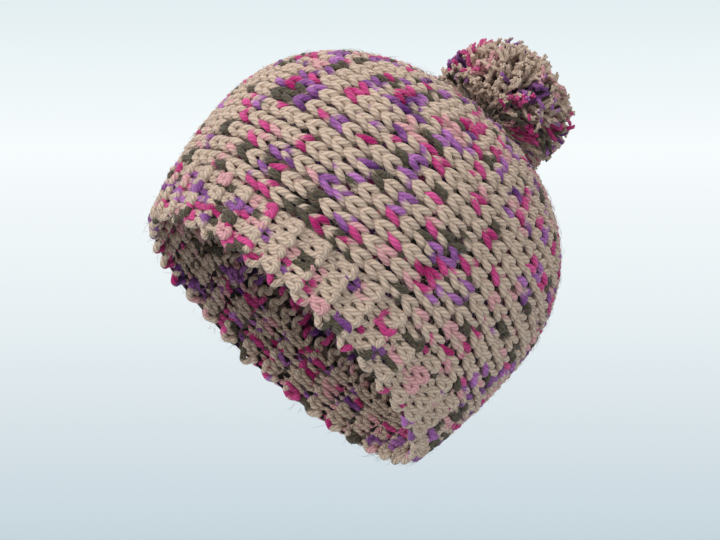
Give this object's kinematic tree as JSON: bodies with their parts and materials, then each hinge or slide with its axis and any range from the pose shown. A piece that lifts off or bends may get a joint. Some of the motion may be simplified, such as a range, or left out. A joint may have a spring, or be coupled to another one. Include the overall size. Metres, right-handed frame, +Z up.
{
  "type": "pom pom beanie",
  "caption": "Hand-knitted winter hat with a garter-stitch brim, rings of plain stitches round the head, a gathered crown and a sewn-on ball of cut yarn.",
  "frame": {"origin": "the middle of the hat's footprint at the level of the brim's lower edge, on the surface that the brim stands on", "axes": "+Z up the crown's axis towards the pompom, -Y towards the forehead, +X towards the wearer's left ear"},
  "size_m": [0.194, 0.2269, 0.232],
  "materials": {
    "knit": "chunky plied wool yarn, oatmeal with magenta, lilac, purple and olive flecks, knitted",
    "yarn": "the same plied wool yarn, as single strands",
    "pile": "the same yarn cut into a dense crinkled pile"
  },
  "bodies": {
    "hat": {"brim_band": "knit", "knit_body": "knit", "crown_gather": "knit", "back_seam": "yarn", "woven_end": "yarn", "gathering_yarn": "yarn", "inside_knot": "yarn"},
    "shank_bend": {"shank_base": "yarn"},
    "shank": {"pompom_shank": "yarn"},
    "pompom": {"pompom_tie": "yarn", "pompom_pile": "pile"}
  },
  "joints": [
    {"name": "pompom_nod", "type": "hinge", "parent": "hat", "child": "shank_bend", "pos_m": [0, 0.0075, 0.175], "axis": [1, 0, 0], "range_deg": [-10, 10], "stiffness_Nm_per_rad": 0.12},
    {"name": "pompom_sway", "type": "hinge", "parent": "shank_bend", "child": "shank", "pos_m": [0, 0.0075, 0.175], "axis": [0, 1, 0], "range_deg": [-10, 10], "stiffness_Nm_per_rad": 0.12},
    {"name": "pompom_twist", "type": "hinge", "parent": "shank", "child": "pompom", "pos_m": [0, 0.0075, 0.175], "axis": [0, 0, 1], "range_deg": [-60, 60], "stiffness_Nm_per_rad": 0.01}
  ]
}
